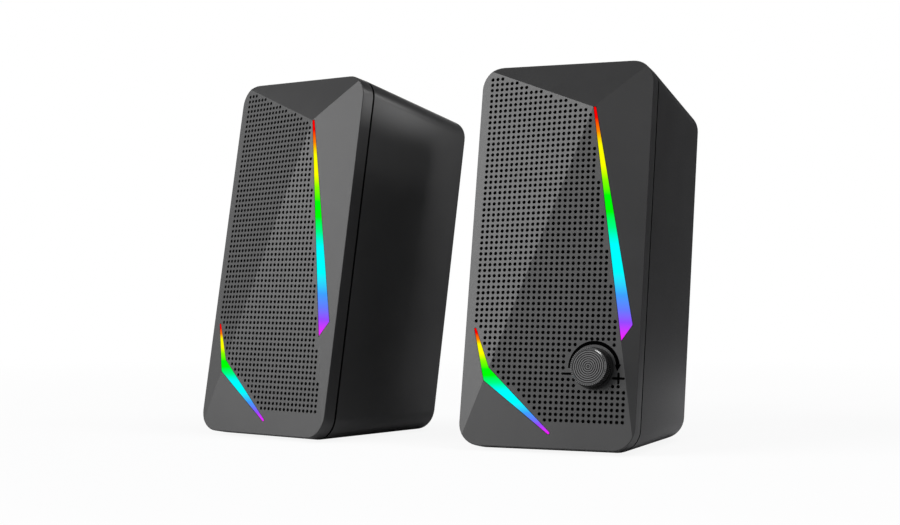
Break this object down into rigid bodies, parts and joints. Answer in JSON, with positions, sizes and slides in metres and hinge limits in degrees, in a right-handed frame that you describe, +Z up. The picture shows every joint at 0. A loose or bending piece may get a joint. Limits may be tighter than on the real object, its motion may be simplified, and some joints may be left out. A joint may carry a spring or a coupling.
{
  "type": "desktop speakers",
  "caption": "Pair of small desktop speakers with faceted perforated fronts, coloured light strips, and a volume knob on the main speaker.",
  "frame": {"origin": "on the table, under the middle of the pair's bounding box", "axes": "+Z up, +X from the satellite to the main speaker, -Y the way the main speaker faces"},
  "size_m": [0.2508, 0.1402, 0.1901],
  "materials": {
    "shell": "fine satin texture, charcoal",
    "knob": "turned face with fine rings, charcoal",
    "inner_plastic": "moulded, black",
    "light_guide": "diffusing, lit in rainbow colours",
    "circuit_board": "solder mask, green",
    "components": "moulded, black",
    "led": "moulded, white",
    "basket_steel": "black paint",
    "gasket": "pressed fibre, black",
    "steel": "zinc plated",
    "magnet": "ferrite, dark grey",
    "spider": "resin-dipped cloth, amber",
    "rubber": "matt black",
    "cone_paper": "pressed paper, black",
    "coil": "enamelled copper wire",
    "screws": "zinc plated"
  },
  "bodies": {
    "main": {"main_front_cover": "shell", "main_cabinet": "shell", "main_baffle": "inner_plastic", "main_upper_light_guide": "light_guide", "main_lower_light_guide": "light_guide", "main_upper_led_board": "circuit_board", "main_lower_led_board": "circuit_board", "main_leds": "led", "main_driver_basket": "basket_steel", "main_driver_gasket": "gasket", "main_driver_top_plate": "steel", "main_driver_magnet": "magnet", "main_driver_yoke": "steel", "main_driver_spider": "spider", "main_driver_surround": "rubber", "main_driver_screws": "screws", "main_cover_screws": "screws", "main_cabinet_screws": "screws", "main_feet": "rubber", "main_cable_gland": "rubber", "potentiometer_body": "steel", "potentiometer_nut": "steel", "amplifier_board": "circuit_board", "amplifier_parts": "components", "amplifier_screws": "screws"},
    "volume_knob": {"volume_knob": "knob", "potentiometer_shaft": "steel"},
    "main_cone": {"main_driver_cone": "cone_paper", "main_driver_dust_cap": "cone_paper", "main_driver_voice_coil": "coil"},
    "satellite": {"satellite_front_cover": "shell", "satellite_cabinet": "shell", "satellite_baffle": "inner_plastic", "satellite_upper_light_guide": "light_guide", "satellite_lower_light_guide": "light_guide", "satellite_upper_led_board": "circuit_board", "satellite_lower_led_board": "circuit_board", "satellite_leds": "led", "satellite_driver_basket": "basket_steel", "satellite_driver_gasket": "gasket", "satellite_driver_top_plate": "steel", "satellite_driver_magnet": "magnet", "satellite_driver_yoke": "steel", "satellite_driver_spider": "spider", "satellite_driver_surround": "rubber", "satellite_driver_screws": "screws", "satellite_cover_screws": "screws", "satellite_cabinet_screws": "screws", "satellite_feet": "rubber", "satellite_cable_gland": "rubber"},
    "satellite_cone": {"satellite_driver_cone": "cone_paper", "satellite_driver_dust_cap": "cone_paper", "satellite_driver_voice_coil": "coil"}
  },
  "joints": [
    {"name": "volume_turn", "type": "hinge", "parent": "main", "child": "volume_knob", "pos_m": [0.1037, -0.06119, 0.04081], "axis": [0, 0.9848, -0.1736], "range_deg": [-150, 150]},
    {"name": "main_cone_travel", "type": "slide", "parent": "main", "child": "main_cone", "axis": [0, -0.9848, 0.1736], "range_m": [-0.0015, 0.0015], "stiffness_N_per_m": 1000, "deforming": ["main_driver_surround", "main_driver_spider"]},
    {"name": "satellite_place", "type": "slide", "parent": "main", "child": "satellite", "axis": [-1, 0, 0], "range_m": [0, 0.25]},
    {"name": "satellite_cone_travel", "type": "slide", "parent": "satellite", "child": "satellite_cone", "axis": [-0.2549, -0.9513, 0.1736], "range_m": [-0.0015, 0.0015], "stiffness_N_per_m": 1000, "deforming": ["satellite_driver_surround", "satellite_driver_spider"]}
  ]
}
